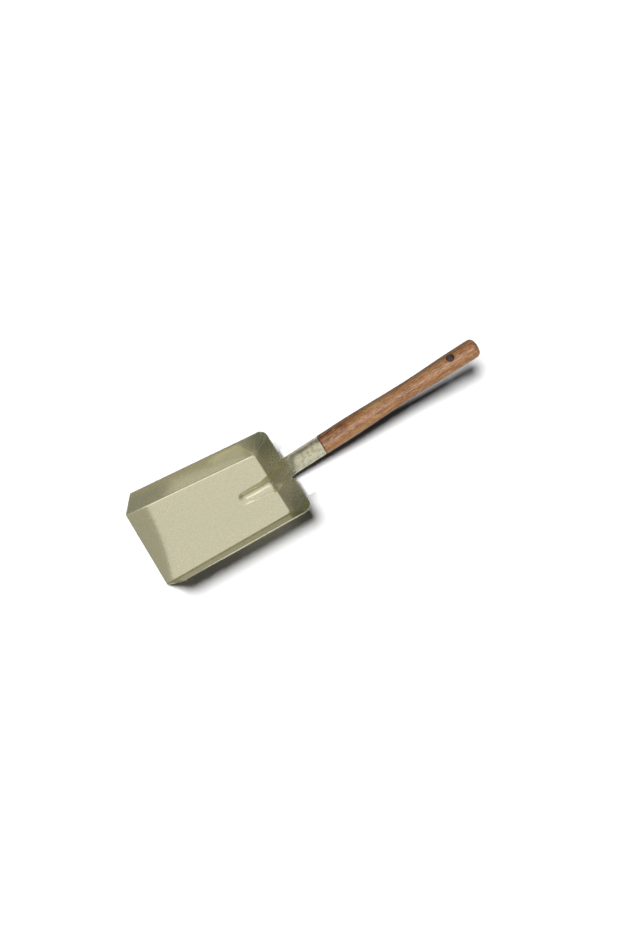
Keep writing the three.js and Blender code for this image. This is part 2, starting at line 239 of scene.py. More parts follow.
FLOOR_SIDE = 12.0
FLOOR_DROP = 0.0002           # the paper lies this far under the shovel
PAPER_MIRRORED = 0.75         # how white metal and matt surfaces see it
PAPER_BOUNCE = 0.08           # and what it adds to its own shadows
PAPER_JOIN = 0.1005           # two sheets meet behind the back wall, each with a lamp of its own
PAPER_JOIN_BACK = 0.116       # beside the socket's shadow they meet further back
PAPER_JOIN_HALF = 0.03
paper_look = bpy.data.materials.new("white_paper")
page = Nodes(paper_look)
rays = page.add("ShaderNodeLightPath").outputs
whiteness = page.blend(rays["Is Camera Ray"], grey(PAPER_MIRRORED), grey(1.0))
whiteness = page.blend(rays["Diffuse Depth"], whiteness, grey(PAPER_BOUNCE))
matt = page.add("ShaderNodeBsdfDiffuse", Color=whiteness)
page.add("ShaderNodeOutputMaterial", Surface=matt.outputs[0])


def paper_sheet(name, lit_with, patches):
    """A flat sheet made of rectangles, each given as its least and greatest x and y."""
    points, faces = [], []
    for x_low, x_high, y_low, y_high in patches:
        faces.append(tuple(range(len(points), len(points) + 4)))
        corners = [(x_low, y_low), (x_high, y_low), (x_high, y_high), (x_low, y_high)]
        points += [(x, y, -FLOOR_DROP) for x, y in corners]
    sheet = stage_mesh(name, points, faces, lit_with)
    sheet.data.materials.append(paper_look)


half_side = FLOOR_SIDE / 2
paper_sheet("paper_under_pan", pan_paper_parts, [
    (-half_side, PAPER_JOIN, -half_side, half_side),
    (PAPER_JOIN, PAPER_JOIN_BACK, -half_side, -PAPER_JOIN_HALF),
    (PAPER_JOIN, PAPER_JOIN_BACK, PAPER_JOIN_HALF, half_side)])
paper_sheet("paper_under_grip", grip_paper_parts, [
    (PAPER_JOIN, PAPER_JOIN_BACK, -PAPER_JOIN_HALF, PAPER_JOIN_HALF),
    (PAPER_JOIN_BACK, half_side, -half_side, half_side)])

LIP_CARD_GLOW = (0.46, 0.46, 0.39, 1.0)
LIP_CARD_HEIGHT = 65.0        # over the paper
LIP_CARD_EDGE = -44.0         # where its back edge crosses its middle line
LIP_CARD_MIDDLE = 20.0
LIP_CARD_SLANT = 0.19
LIP_CARD_BOW = 0.0018
LIP_CARD_REACH = 70.0
LIP_CARD_HALF = 75.0
SIDE_CARD_GLOW = (0.16, 0.17, 0.2, 1.0)
SIDE_CARD_Y = -75.0
SIDE_CARD_EDGE = 13.0         # its back edge at the height of the low point
SIDE_CARD_LOW = 33.0
SIDE_CARD_LEAN = -1.2         # how far that edge moves forward for each millimetre of height
SIDE_CARD_TOP = 75.0
SIDE_CARD_REACH = 90.0
FRONT_CARD_GLOW = (0.34, 0.33, 0.28, 1.0)
FRONT_CARD_HEIGHT = 1.0
FRONT_CARD_EDGE = -90.0       # just ahead of the lip
FRONT_CARD_REACH = 330.0
FRONT_CARD_HALF = 220.0
CARD_STRIPS = 24


def mirrored_card(name, glow_colour, back_edge, front_edge):
    """A grey card that only mirrors show: a strip between two lines of points, in millimetres."""
    points = np.concatenate([back_edge, front_edge]) * MM
    count = len(back_edge)
    first = np.arange(count - 1)
    faces = np.stack([first, first + 1, first + 1 + count, first + count], axis=1)
    card = stage_mesh(name, points.tolist(), faces.tolist())
    for kind in ("camera", "diffuse", "transmission", "volume_scatter", "shadow"):
        setattr(card, "visible_" + kind, False)
    look = bpy.data.materials.new(name)
    n = Nodes(look)
    glow = n.add("ShaderNodeEmission", Color=glow_colour)
    n.add("ShaderNodeOutputMaterial", Surface=glow.outputs[0])
    card.data.materials.append(look)


across = np.linspace(-LIP_CARD_HALF, LIP_CARD_HALF, CARD_STRIPS + 1)
edge = LIP_CARD_EDGE + LIP_CARD_SLANT * across - LIP_CARD_BOW * across ** 2
level = np.full_like(across, LIP_CARD_HEIGHT)
mirrored_card("lip_card", LIP_CARD_GLOW,
              np.stack([edge, across + LIP_CARD_MIDDLE, level], axis=1),
              np.stack([edge - LIP_CARD_REACH, across + LIP_CARD_MIDDLE, level], axis=1))
up = np.linspace(0, SIDE_CARD_TOP, CARD_STRIPS + 1)
edge = SIDE_CARD_EDGE + SIDE_CARD_LEAN * (up - SIDE_CARD_LOW)
side = np.full_like(up, SIDE_CARD_Y)
mirrored_card("side_card", SIDE_CARD_GLOW,
              np.stack([edge, side, up], axis=1),
              np.stack([np.full_like(up, SIDE_CARD_EDGE - SIDE_CARD_REACH), side, up], axis=1))

across = np.linspace(-FRONT_CARD_HALF, FRONT_CARD_HALF, CARD_STRIPS + 1)
edge = np.full_like(across, FRONT_CARD_EDGE)
level = np.full_like(across, FRONT_CARD_HEIGHT)
mirrored_card("front_card", FRONT_CARD_GLOW,
              np.stack([edge, across, level], axis=1),
              np.stack([edge - FRONT_CARD_REACH, across, level], axis=1))

# Blade
# One pressing of plated steel sheet: an open-fronted pan, a ridge swaged up its floor and back
# wall, and the tongue behind it rolled into the handle's socket. Its upper face is one grid; the
# sheet's thickness is added below it.

SHEET = 1.0
FLOOR_LENGTH = 155.8
LIP_WIDTH = 87.2
HEEL_WIDTH = 77.0
PAN_DEPTH = 25.2
LIP_FLARE = 11.1
HEEL_FLARE = 12.7
BACK_LEAN = 15.9
LIP_RAKE = 10.2
FOLD_REACH = 1.3
HEEL_CORNER = 4.5
RIM_CORNER = 10.0
CORNER_LIFT = 1.5             # how far drawing raises the rim at a back corner
CORNER_SPREAD = 13.0
CORNER_FULL = 0.6             # the share of that spread by which it is fully raised
WRINKLES = 3.0                # folds on each side of a back corner
WRINKLE_DEPTH = 0.8
WRINKLE_REACH = 24.0          # how far from the corner they run along the rim
SOCKET_RISE = 0.7             # how much the back rim rises towards the socket
RISE_STARTS = 6.0             # from this far ahead of the rim
RISE_FULL = 1.0
RISE_NEAR = 12.0              # fading out between these distances from the middle
RISE_FAR = 40.0

RIDGE_LENGTH = 41.3
NOSE_WIDTH = 10.8
RIDGE_WIDTH = 15.2            # what the ridge's even taper would reach at the back fold
SPREAD_LEAD = 14.0            # where it starts to spread, ahead of the back fold
SPREAD_TRAIL = 6.0            # and where it is as wide as the socket, behind the fold
NOSE_REACH = 7.0
NOSE_LEAD = 1.0               # the close rows start this far ahead of its foot
NOSE_HEIGHT = 2.9
HEEL_HEIGHT = 5.6
SPRING_STAND = 2.5            # the widest line climbs this far ahead of the back wall
CREST_BLEND = 7.0
FOOT_BLEND = 4.0              # the same where the crest leaves the floor for the back wall
CREST_STAND = 5.6             # the crest's climb starts this far ahead of the back fold
CREST_STEEPNESS = 1.877
SPRING_BLEND = 4.0
BEAD_SLOPE = math.radians(38)        # of the flanks on the floor
STEEPENING = 1.2              # a taller bead's flanks are this much steeper than its mean slope
NOSE_MARGIN = 2.1             # how much wider the bead's foot is than the ridge
HEEL_MARGIN = 0.9
BEAD_END = 153.0              # from here on the bead turns into the upright arch
ARCH_START = 163.0
NOSE_FILLET = 3.6
HEEL_FILLET = 0.5
FILLET_NARROWS = 121.0        # where the fillet starts and ends to get tighter
FILLET_NARROW = 136.0
LEAST_FLANK = 0.25
BAND_EDGE = 1.2               # flat strip beside the ridge's fillet

SOCKET_TILT = math.radians(19)
SOCKET_RADIUS = 10.8
SOCKET_LENGTH = 41.7
AXIS_RISE = 6.4
SEAM_WIDTH = 1.6
NOTCH_LENGTH = 6.5
NOTCH_DROP = 2.4
NOTCH_TOP = 0.6               # how far below its widest line the socket is cut at the rim
NOTCH_LOW = 5.0               # and at the notch's back end
FLAP_FROM = 0.3               # cosine of the angle from straight down where that slant begins
FLAP_SLANT = 8.0              # how far the socket's underside starts behind its sides
EDGE_BEVEL = 0.36
EDGE_SEGMENTS = 3
SHARP = math.radians(50)      # only edges that turn by more than this are rounded
TRIM = 0.02                   # keeps the finished shape inside the frame's box
MERGE_WITHIN = 0.0001         # points this near each other are one

FLOOR_STEP = 2.2
NOSE_STEP = 0.45
RIDGE_STEP = 0.8
TONGUE_STEP = 0.9
STRIP_ROWS = 3
FOLD_ROWS = 7
WALL_ROWS = 24
ARCH_COLUMNS = 22
FLANK_COLUMNS = 6
FILLET_COLUMNS = 8
FLAT_COLUMNS = 4
SIDE_COLUMNS = 20

rim_x = FLOOR_LENGTH + BACK_LEAN
rim_z = SHEET + PAN_DEPTH
mouth_x = rim_x + SOCKET_LENGTH * math.cos(SOCKET_TILT)
mouth_z = rim_z + AXIS_RISE + SOCKET_LENGTH * math.sin(SOCKET_TILT)
nose_x = FLOOR_LENGTH - RIDGE_LENGTH
notch_end = rim_x + NOTCH_LENGTH


def lerp(a, b, share):
    """The value that lies this share of the way from a to b."""
    return a + (b - a) * share


def smoothstep(value, low, high):
    """0 below low, 1 above high, and an S curve of third degree between them."""
    share = np.clip((value - low) / (high - low), 0, 1)
    return share * share * (3 - 2 * share)


def soft_min(a, b, reach):
    """The smaller of two values, less a parabola where they come within reach of each other."""
    near = np.maximum(reach - np.abs(a - b), 0) / reach
    return np.minimum(a, b) - near ** 2 * reach / 4


def soft_max(a, b, reach):
    """The larger of two values, rounded the same way."""
    return -soft_min(-a, -b, reach)


def axis_height(x):
    """Height of the socket's axis, a straight line through the mouth."""
    return mouth_z + (x - mouth_x) * math.tan(SOCKET_TILT)


def wall_height(x, stand):
    """Height of a line that runs parallel to the back wall, this far ahead of it."""
    return SHEET + (x - FLOOR_LENGTH + stand) * PAN_DEPTH / BACK_LEAN


def crest_height(x):
    """Height of the crest: a slow rise on the floor, then a climb that is steeper than the back
    wall, then along the socket's top, each run rounded into the next."""
    floor_run = SHEET + lerp(NOSE_HEIGHT, HEEL_HEIGHT, (x - nose_x) / RIDGE_LENGTH)
    steep_run = SHEET + (x - FLOOR_LENGTH + CREST_STAND) * CREST_STEEPNESS
    climb = soft_max(floor_run, steep_run, FOOT_BLEND)
    return soft_min(climb, axis_height(x) + SOCKET_RADIUS / math.cos(SOCKET_TILT), CREST_BLEND)


def spring_height(x):
    """Height where the arch is widest: on the floor, then up the wall, then on the axis."""
    wall_run = soft_max(SHEET, wall_height(x, SPRING_STAND), SPRING_BLEND)
    return soft_min(wall_run, axis_height(x), SPRING_BLEND)


def half_width(x):
    """Half the ridge's width: an even taper from the nose, which spreads to the socket's width
    at the back fold."""
    taper = lerp(NOSE_WIDTH / 2, RIDGE_WIDTH / 2, (x - nose_x) / RIDGE_LENGTH)
    share = smoothstep(x, FLOOR_LENGTH - SPREAD_LEAD, FLOOR_LENGTH + SPREAD_TRAIL)
    return lerp(taper, SOCKET_RADIUS, share)


def fold_profile():
    """The three shares that draw a wall out of the floor, ring by ring: how far inside the fold
    line the ring lies, its height, and how far its corners reach. A flat strip comes first, then
    a parabola that leaves the floor level and meets the wall, then the straight wall."""
    strip = np.linspace(0, 1, STRIP_ROWS, endpoint=False)
    fold = np.linspace(0, 1, FOLD_ROWS, endpoint=False)
    wall = np.linspace(0, 1, WALL_ROWS + 1)
    inset = np.concatenate([
        lerp(HEEL_CORNER, FOLD_REACH, strip), FOLD_REACH * (1 - fold) ** 2, 0 * wall])
    rise = np.concatenate([0 * strip, FOLD_REACH * fold ** 2, lerp(FOLD_REACH, PAN_DEPTH, wall)])
    corner = lerp(HEEL_CORNER, RIM_CORNER, rise / PAN_DEPTH) - inset
    return inset, rise, corner


def wall_half(x, rise):
    """Half the pan's width at this distance from the lip and this height above the floor."""
    along = x / FLOOR_LENGTH
    flare = lerp(LIP_FLARE, HEEL_FLARE, along)
    return lerp(LIP_WIDTH, HEEL_WIDTH, along) / 2 + rise / PAN_DEPTH * flare


def rim_lift(x, y, rise):
    """Height that drawing has added near the rim: a swelling at the back corners and a slow
    rise of the back rim towards the socket, both fading down the wall."""
    away = np.hypot(rim_x - x, HEEL_WIDTH / 2 + HEEL_FLARE - np.abs(y))
    corner = CORNER_LIFT * smoothstep(1 - away / CORNER_SPREAD, 0, CORNER_FULL)
    back = SOCKET_RISE * smoothstep(x, rim_x - RISE_STARTS, rim_x - RISE_FULL)
    back = back * (1 - smoothstep(np.abs(y), RISE_NEAR, RISE_FAR))
    return (corner + back) * (rise / PAN_DEPTH) ** 2


def draw_wrinkles(corner_x, corner_y, x, y, rise):
    """How far the wall stands out in the shallow folds that fan out from a back corner's foot: a
    sine of the distance from the corner, measured against a reach that grows with the height,
    fading by (1 - q^2)^2 towards the sides and to nothing at the rim."""
    beside = (corner_y - y) - (corner_x - x)
    q = np.clip(beside / (WRINKLE_REACH * np.maximum(rise, FOLD_REACH) / PAN_DEPTH), -1, 1)
    share = rise / PAN_DEPTH
    depth = WRINKLE_DEPTH * share * (1 - share ** 4)
    return depth * np.sin(2 * math.pi * WRINKLES * q) * (1 - q ** 2) ** 2


def pan_rows():
    """Distances from the lip of the floor's rows: wide apart, close round the nose, and middling
    beside the ridge, ending where the flat strip before the back fold begins."""
    nose_start = nose_x - NOSE_MARGIN - NOSE_LEAD
    nose_stop = nose_x + NOSE_REACH
    stop = FLOOR_LENGTH - HEEL_CORNER
    runs = [(0, nose_start, FLOOR_STEP), (nose_start, nose_stop, NOSE_STEP),
            (nose_stop, stop, RIDGE_STEP)]
    parts = [np.linspace(a, b, round((b - a) / step), endpoint=False) for a, b, step in runs]
    return np.concatenate(parts)


def bead_margin(x):
    """How much wider the bead's foot is than the ridge: it narrows as the fillet does."""
    return lerp(NOSE_MARGIN, HEEL_MARGIN, smoothstep(x, FILLET_NARROWS, FLOOR_LENGTH))


def bead_section(x, base, fillet):
    """One side of the section across the low bead on the floor: a round crest, a straight flank
    at the bead's slope and a round fillet. Crest and fillet turn by the same angle, so the sum
    of their radii is (w sin - h cos) / (1 - cos) for a half width w and a height h, and the
    flank takes what is left of the height."""
    tall = crest_height(x) - base
    foot = half_width(x) + bead_margin(x)
    slope = np.maximum(BEAD_SLOPE, STEEPENING * np.arctan2(tall, foot))
    sine, cosine = np.sin(slope), np.cos(slope)
    radii = np.minimum((foot * sine - tall * cosine) / (1 - cosine), tall / (1 - cosine))
    crest = radii - fillet
    drop = tall - radii * (1 - cosine)
    arch = slope * np.linspace(0, 1, ARCH_COLUMNS, endpoint=False)
    flank = np.linspace(0, 1, FLANK_COLUMNS, endpoint=False)
    turn = slope * np.linspace(1, 0, FILLET_COLUMNS, endpoint=False)
    flat = np.linspace(0, 1, FLAT_COLUMNS + 1)
    edge = crest * sine + drop * cosine / sine + fillet * sine
    across = [crest * np.sin(arch), crest * sine + drop * cosine / sine * flank,
              edge - fillet * np.sin(turn), edge + BAND_EDGE * flat]
    height = [tall - crest * (1 - np.cos(arch)), tall - crest * (1 - cosine) - drop * flank,
              fillet * (1 - np.cos(turn)), 0 * edge + 0 * flat]
    return np.concatenate(across, axis=1), base + np.concatenate(height, axis=1)


def ridge_section(x, base, flank_foot):
    """One side of the upright section across the ridge, from its crest to the flat strip beside
    it: a quarter ellipse, a straight flank, a quarter round fillet and the flat, which the low
    bead turns into at the back fold. Each argument holds one value a row, and the two results
    are arrays of rows by columns."""
    x, base, flank_foot = (value[:, None] for value in (x, base, flank_foot))
    fillet = lerp(NOSE_FILLET, HEEL_FILLET, smoothstep(x, FILLET_NARROWS, FILLET_NARROW))
    half = half_width(x)
    foot = np.maximum(base + fillet, flank_foot)
    spring = np.maximum(spring_height(x), foot + LEAST_FLANK)
    arch = np.linspace(0, math.pi / 2, ARCH_COLUMNS, endpoint=False)
    flank = np.linspace(0, 1, FLANK_COLUMNS, endpoint=False)
    turn = np.linspace(0, math.pi / 2, FILLET_COLUMNS, endpoint=False)
    flat = np.linspace(0, 1, FLAT_COLUMNS + 1)
    across = [half * np.sin(arch), half + 0 * flank, half + fillet * (1 - np.cos(turn)),
              half + fillet + BAND_EDGE * flat]
    height = [spring + (crest_height(x) - spring) * np.cos(arch), lerp(spring, foot, flank),
              base + fillet * (1 - np.sin(turn)), base + 0 * flat]
    across, height = np.concatenate(across, axis=1), np.concatenate(height, axis=1)
    bead_across, bead_height = bead_section(x, base, fillet)
    share = smoothstep(x, BEAD_END, ARCH_START)
    return lerp(bead_across, across, share), lerp(bead_height, height, share)


def nose_cap(x, across, station_across, station_height):
    """Height of the ridge's rounded nose: the section behind the nose, turned about its middle
    as an ellipse, with the crest's own fall towards the front. Straight ahead the steep flank
    gives way to a soft S curve, by the square of the direction's cosine."""
    centre = nose_x + NOSE_REACH
    reach = NOSE_REACH + NOSE_MARGIN
    stretch = (half_width(centre) + NOSE_MARGIN) / reach
    ahead = (centre - x[:, None]) * stretch
    radius = np.hypot(across, ahead)
    flank = np.interp(radius, station_across, station_height) - SHEET
    ramp = (station_height[0] - SHEET) * (1 - smoothstep(radius, 0, reach * stretch))
    bump = lerp(flank, ramp, (ahead / np.maximum(radius, LEAST_FLANK)) ** 2)
    fall = (crest_height(x) - SHEET) / (crest_height(centre) - SHEET)
    return SHEET + bump * fall[:, None]


def mirrored_columns(half_grid):
    """Both sides of the pan from one side's grid: the left side turned over, then the right."""
    left = half_grid[:, :0:-1] * np.array([1, -1, 1])
    return np.concatenate([left, half_grid], axis=1)


def pan_half():
    """The +Y half of the pan's upper face, as rows from the lip to the back rim by columns from
    the centre line to the side rim. Rings of the wall run up the side, round the corner on a
    quadratic curve, and along the back."""
    inset, rise, corner = fold_profile()
    rings = len(rise)
    floor_x = pan_rows()
    rows = len(floor_x) + rings
    band = ARCH_COLUMNS + FLANK_COLUMNS + FILLET_COLUMNS + FLAT_COLUMNS + 1
    columns = band + SIDE_COLUMNS - 1 + rings
    grid = np.zeros((rows, columns, 3))

    ring_x = FLOOR_LENGTH + rise / PAN_DEPTH * BACK_LEAN - inset
    ring_y = wall_half(ring_x, rise) - inset - corner
    x = np.concatenate([floor_x, ring_x])
    z = SHEET + np.concatenate([0 * floor_x, rise])
    edge_y = np.concatenate([wall_half(floor_x, 0) - HEEL_CORNER, ring_y])

    notched = smoothstep(z, rim_z - NOTCH_DROP, rim_z)
    foot = lerp(z, spring_height(x) - NOTCH_TOP, notched)
    across, height = ridge_section(x, z, foot)
    behind = np.searchsorted(x, nose_x + NOSE_REACH)
    station_across, station_height = across[behind], height[behind]
    across[:behind] = station_across
    height[:behind] = nose_cap(x[:behind], across[:behind], station_across, station_height)
    grid[:, :band, 0] = x[:, None]
    grid[:, :band, 1] = across
    grid[:, :band, 2] = height

    share = np.linspace(0, 1, SIDE_COLUMNS + 1)[1:-1]
    side = slice(band, band + SIDE_COLUMNS - 1)
    grid[:, side, 0] = x[:, None]
    grid[:, side, 1] = lerp(across[:, -1:], edge_y[:, None], share)
    grid[:, side, 2] = z[:, None]

    start = band + SIDE_COLUMNS - 1
    front = LIP_RAKE * rise / PAN_DEPTH
    along = floor_x / (FLOOR_LENGTH - HEEL_CORNER)
    wall_x = lerp(front, ring_x - corner, along[:, None])
    grid[:len(floor_x), start:, 0] = wall_x
    grid[:len(floor_x), start:, 1] = wall_half(wall_x, rise) - inset
    grid[:len(floor_x), start:, 2] = SHEET + rise

    back, out = np.meshgrid(np.arange(rings), np.arange(rings), indexing="ij")
    ring = np.maximum(back, out)
    turn = np.where(out >= back, back / np.maximum(ring, 1) / 2, 1 - out / np.maximum(ring, 1) / 2)
    begin_x = ring_x[ring] - corner[ring]
    begin_y = wall_half(begin_x, rise[ring]) - inset[ring]
    tip_y = wall_half(ring_x, rise)[ring] - inset[ring]
    grid[len(floor_x):, start:, 0] = (
        (1 - turn) ** 2 * begin_x + (2 * turn * (1 - turn) + turn ** 2) * ring_x[ring])
    grid[len(floor_x):, start:, 1] = (
        ((1 - turn) ** 2) * begin_y + 2 * turn * (1 - turn) * tip_y + turn ** 2 * ring_y[ring])
    grid[len(floor_x):, start:, 2] = SHEET + rise[ring]

    wall_rise = grid[:, start:, 2] - SHEET
    corner_x = FLOOR_LENGTH + wall_rise / PAN_DEPTH * BACK_LEAN
    fold = draw_wrinkles(corner_x, wall_half(corner_x, wall_rise),
                         grid[:, start:, 0], grid[:, start:, 1], wall_rise)
    grid[:, start:, 0] += fold
    grid[:, start:, 1] += fold

    outside = np.zeros((rows, columns))
    outside[:, band:] = grid[:, band:, 2] - SHEET
    grid[:, :, 2] += rim_lift(grid[:, :, 0], grid[:, :, 1], outside)
    return grid, band


def tongue_half(columns):
    """The +Y half of the socket's outer face, as rows from the back rim to the mouth by columns
    from the crest round to the seam. The sections start upright and turn square to the axis."""
    steps = round((mouth_x - rim_x) / TONGUE_STEP)
    station = np.linspace(rim_x, mouth_x, steps + 1)[1:, None]
    station[np.argmin(np.abs(station - notch_end))] = notch_end
    under = SOCKET_RADIUS / math.cos(SOCKET_TILT)
    arch = np.linspace(0, math.pi / 2, ARCH_COLUMNS, endpoint=False)
    seam_angle = math.pi - math.asin(SEAM_WIDTH / 2 / SOCKET_RADIUS)
    cut = lerp(NOTCH_TOP, NOTCH_LOW, smoothstep(station, rim_x, notch_end))
    side_angle = math.pi / 2 + np.arcsin(cut / under)
    flank = np.linspace(0, 1, FLANK_COLUMNS, endpoint=False)
    low = np.linspace(0, 1, columns - ARCH_COLUMNS - FLANK_COLUMNS)
    angle = np.concatenate([arch + 0 * station, lerp(math.pi / 2, side_angle, flank),
                            lerp(side_angle, seam_angle, low)], axis=1)
    square = np.clip((station - notch_end) / (mouth_x - notch_end), 0, 1)
    lean = -square * SOCKET_RADIUS * math.sin(SOCKET_TILT) * np.cos(angle)
    slant = (1 - square) * FLAP_SLANT * smoothstep(-np.cos(angle), FLAP_FROM, 1)
    x = station + lean + np.where(station >= notch_end, slant, 0)
    upper = spring_height(x) + (crest_height(x) - spring_height(x)) * np.cos(angle)
    lower = spring_height(x) + under * np.cos(angle)
    z = np.where(angle <= math.pi / 2, upper, lower)
    return np.stack([x, half_width(x) * np.sin(angle), z], axis=2), station[:, 0]


def grid_faces(keep, first=0):
    """Quads of a grid of vertices numbered row by row, for each cell that is kept."""
    rows, columns = keep.shape
    number = first + np.arange((rows + 1) * (columns + 1)).reshape(rows + 1, columns + 1)
    quads = np.stack([number[:-1, :-1], number[1:, :-1], number[1:, 1:], number[:-1, 1:]], axis=2)
    return quads[keep]


def make_piece(name, lit_with, points, quads):
    """A mesh object from points in millimetres from the lip and quads of their numbers, put in
    the collection that its lamp lights. Points in one place become one, and quads squashed to a
    triangle or less lose what is squashed."""
    cells = np.round(points / MERGE_WITHIN).astype(np.int64)
    _, first, merged = np.unique(cells, axis=0, return_index=True, return_inverse=True)
    quads = merged.reshape(-1)[quads]
    squashed = quads == np.roll(quads, -1, axis=1)
    whole = quads[squashed.sum(axis=1) == 0]
    bent = squashed.sum(axis=1) == 1
    triangles = quads[bent][~squashed[bent]].reshape(-1, 3)
    place = (points[first] - np.array([FLOOR_LENGTH / 2, 0, 0])) * MM
    used = np.unique(np.concatenate([whole.ravel(), triangles.ravel()]))
    renumber = np.zeros(len(place), dtype=np.int64)
    renumber[used] = np.arange(len(used))
    mesh = bpy.data.meshes.new(name)
    mesh.from_pydata(place[used].tolist(), [],
                     renumber[whole].tolist() + renumber[triangles].tolist())
    mesh.shade_smooth()
    piece = bpy.data.objects.new(name, mesh)
    bpy.context.scene.collection.objects.link(piece)
    lit_with.objects.link(piece)
    return piece


def blade_sheet():
    """The whole upper face as one grid: the pan's rows, then the tongue's rows on the columns
    that the ridge takes, with the relief notches left open. The sheet and its rounded edges
    are modifiers."""
    pan, band = pan_half()
    tongue, station = tongue_half(band)
    pan_keep = np.ones((pan.shape[0] - 1, pan.shape[1] - 1), dtype=bool)
    side = ARCH_COLUMNS + FLANK_COLUMNS
    in_notch = pan[:-1, 0, 0] > FLOOR_LENGTH
    base = pan[:-1, band, 2]
    pan_keep[np.ix_(in_notch & (base > rim_z - NOTCH_DROP), np.arange(side, band - 1))] = False
    joined = np.concatenate([pan[-1:, :band], tongue])
    tongue_keep = np.ones((joined.shape[0] - 1, band - 1), dtype=bool)
    rows_before = np.concatenate([[rim_x], station])[:-1] < notch_end - MERGE_WITHIN
    tongue_keep[np.ix_(rows_before, np.arange(side, band - 1))] = False

    def both(grid, keep):
        """Both sides of a grid and of its kept cells."""
        full = mirrored_columns(grid)
        return full, np.concatenate([keep[:, ::-1], keep], axis=1)

    pan_full, pan_cells = both(pan, pan_keep)
    tongue_full, tongue_cells = both(joined, tongue_keep)
    points = np.concatenate([pan_full.reshape(-1, 3), tongue_full.reshape(-1, 3)])
    quads = np.concatenate([grid_faces(pan_cells),
                            grid_faces(tongue_cells, first=pan_full.shape[0] * pan_full.shape[1])])
    piece = make_piece("blade_sheet", metal_parts, points, quads)
    solid = piece.modifiers.new("thickness", "SOLIDIFY")
    solid.thickness = (SHEET - TRIM) * MM
    solid.offset = -1
    solid.use_even_offset = True
    bevel = piece.modifiers.new("edges", "BEVEL")
    bevel.width = EDGE_BEVEL * MM
    bevel.segments = EDGE_SEGMENTS
    bevel.limit_method = "ANGLE"
    bevel.angle_limit = SHARP
    return piece


PLATE_LIGHT = srgb(209, 205, 177)
PLATE_DARK = srgb(187, 183, 157)
PLATE_STAIN = srgb(140, 136, 106)
# painted shade for the back corners of the pan
PLATE_CORNER_SHADE = srgb(153, 154, 131)
PLATE_METAL = 0.8             # the rest of what it returns is matt
PLATE_GRAINS = 850            # a metre, as are the next two
PLATE_MOTTLES = 330
PLATE_BLOTCHES = 210
GRAIN_LOW = 0.32              # the noise values that give the dark and the light plating
GRAIN_HIGH = 0.68
MOTTLE_LOW = 0.3
MOTTLE_HIGH = 0.7
PLATE_DULL_LEAST = 0.1        # roughness where the mottling is low and high
PLATE_DULL_MOST = 0.145
DRAWN_FROM = 0.070            # the sheet is stretched, and so duller, behind this line
DRAWN_TO = 0.086
DRAWN_DULL = 0.14
DRAWN_RELIEF = 0.08
ROLLED_FROM = 0.094           # the socket, behind this line, is rougher and stained
ROLLED_TO = 0.104
ROLLED_RELIEF = 0.55
RELIEF_DEPTH = 0.0003
STAIN_LOW = 0.45
STAIN_HIGH = 0.62
STAIN_SHARE = 0.5
CORNER_X = 0.090              # where painted shade darkens the plating round the back corners
CORNER_Y = 0.047
CORNER_NEAR = 0.009
CORNER_FAR = 0.035
CORNER_SQUEEZE = 1.6          # and how much shorter it reaches along the side walls
CORNER_SHARE = 0.9
CORNER_FOOT = 0.003           # it starts between these heights, above the floor
CORNER_HEAD = 0.009


def plated_steel():
    """Pale khaki plated sheet: satin metal with fine grain. It is duller where pressing drew the
    sheet out, darkened by painted shade round the back corners, and stained and uneven on the
    rolled socket."""
    look = bpy.data.materials.new("plated_steel")
    n = Nodes(look)
    place = n.add("ShaderNodeTexCoord").outputs["Object"]
    grain = n.noise(place, PLATE_GRAINS, detail=3, roughness=0.8)
    mottle = n.noise(place, PLATE_MOTTLES)
    parts = n.add("ShaderNodeSeparateXYZ", Vector=place).outputs
    from_lip = parts["X"]
    drawn = n.spread(from_lip, DRAWN_FROM, DRAWN_TO)
    rolled = n.spread(from_lip, ROLLED_FROM, ROLLED_TO)
    colour = n.blend(n.spread(grain, GRAIN_LOW, GRAIN_HIGH), PLATE_DARK, PLATE_LIGHT)
    blotch = n.noise(place, PLATE_BLOTCHES, detail=1)
    stained = n.spread(blotch, STAIN_LOW, STAIN_HIGH, 0.0, STAIN_SHARE)
    colour = n.blend(n.math("MULTIPLY", rolled, stained), colour, PLATE_STAIN)
    # painted shade: the plating is darkened round the back corners, above the floor
    to_side = n.math("SUBTRACT", n.math("ABSOLUTE", parts["Y"]), CORNER_Y)
    to_back = n.math("MULTIPLY", n.math("SUBTRACT", from_lip, CORNER_X), CORNER_SQUEEZE)
    from_corner = n.add("ShaderNodeCombineXYZ", X=to_back, Y=to_side)
    away = n.add("ShaderNodeVectorMath", {"operation": "LENGTH"}, i0=from_corner.outputs[0])
    corner_shade = n.spread(away.outputs["Value"], CORNER_NEAR, CORNER_FAR, CORNER_SHARE, 0.0)
    raised = n.spread(parts["Z"], CORNER_FOOT, CORNER_HEAD)
    colour = n.blend(n.math("MULTIPLY", corner_shade, raised), colour, PLATE_CORNER_SHADE)
    dull = n.spread(mottle, MOTTLE_LOW, MOTTLE_HIGH, PLATE_DULL_LEAST, PLATE_DULL_MOST)
    dull = n.math("ADD", dull, n.math("MULTIPLY", drawn, DRAWN_DULL))
    shell = n.add("ShaderNodeBsdfPrincipled", Base_Color=colour, Metallic=PLATE_METAL,
                  Roughness=dull)
    relief = n.math("ADD", n.math("MULTIPLY", drawn, DRAWN_RELIEF),
                    n.math("MULTIPLY", rolled, ROLLED_RELIEF))
    bump = n.add("ShaderNodeBump", Height=mottle, Strength=relief, Distance=RELIEF_DEPTH)
    n.join(bump.outputs[0], shell.inputs["Normal"])
    n.add("ShaderNodeOutputMaterial", Surface=shell.outputs[0])
    return look


blade = blade_sheet()
blade.data.materials.append(plated_steel())
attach(blade, "root")
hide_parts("blade")

# Handle
# One turned hardwood grip with a waist, a rounded end and a cross-drilled hanging hole; its
# tenon is pushed into the socket.

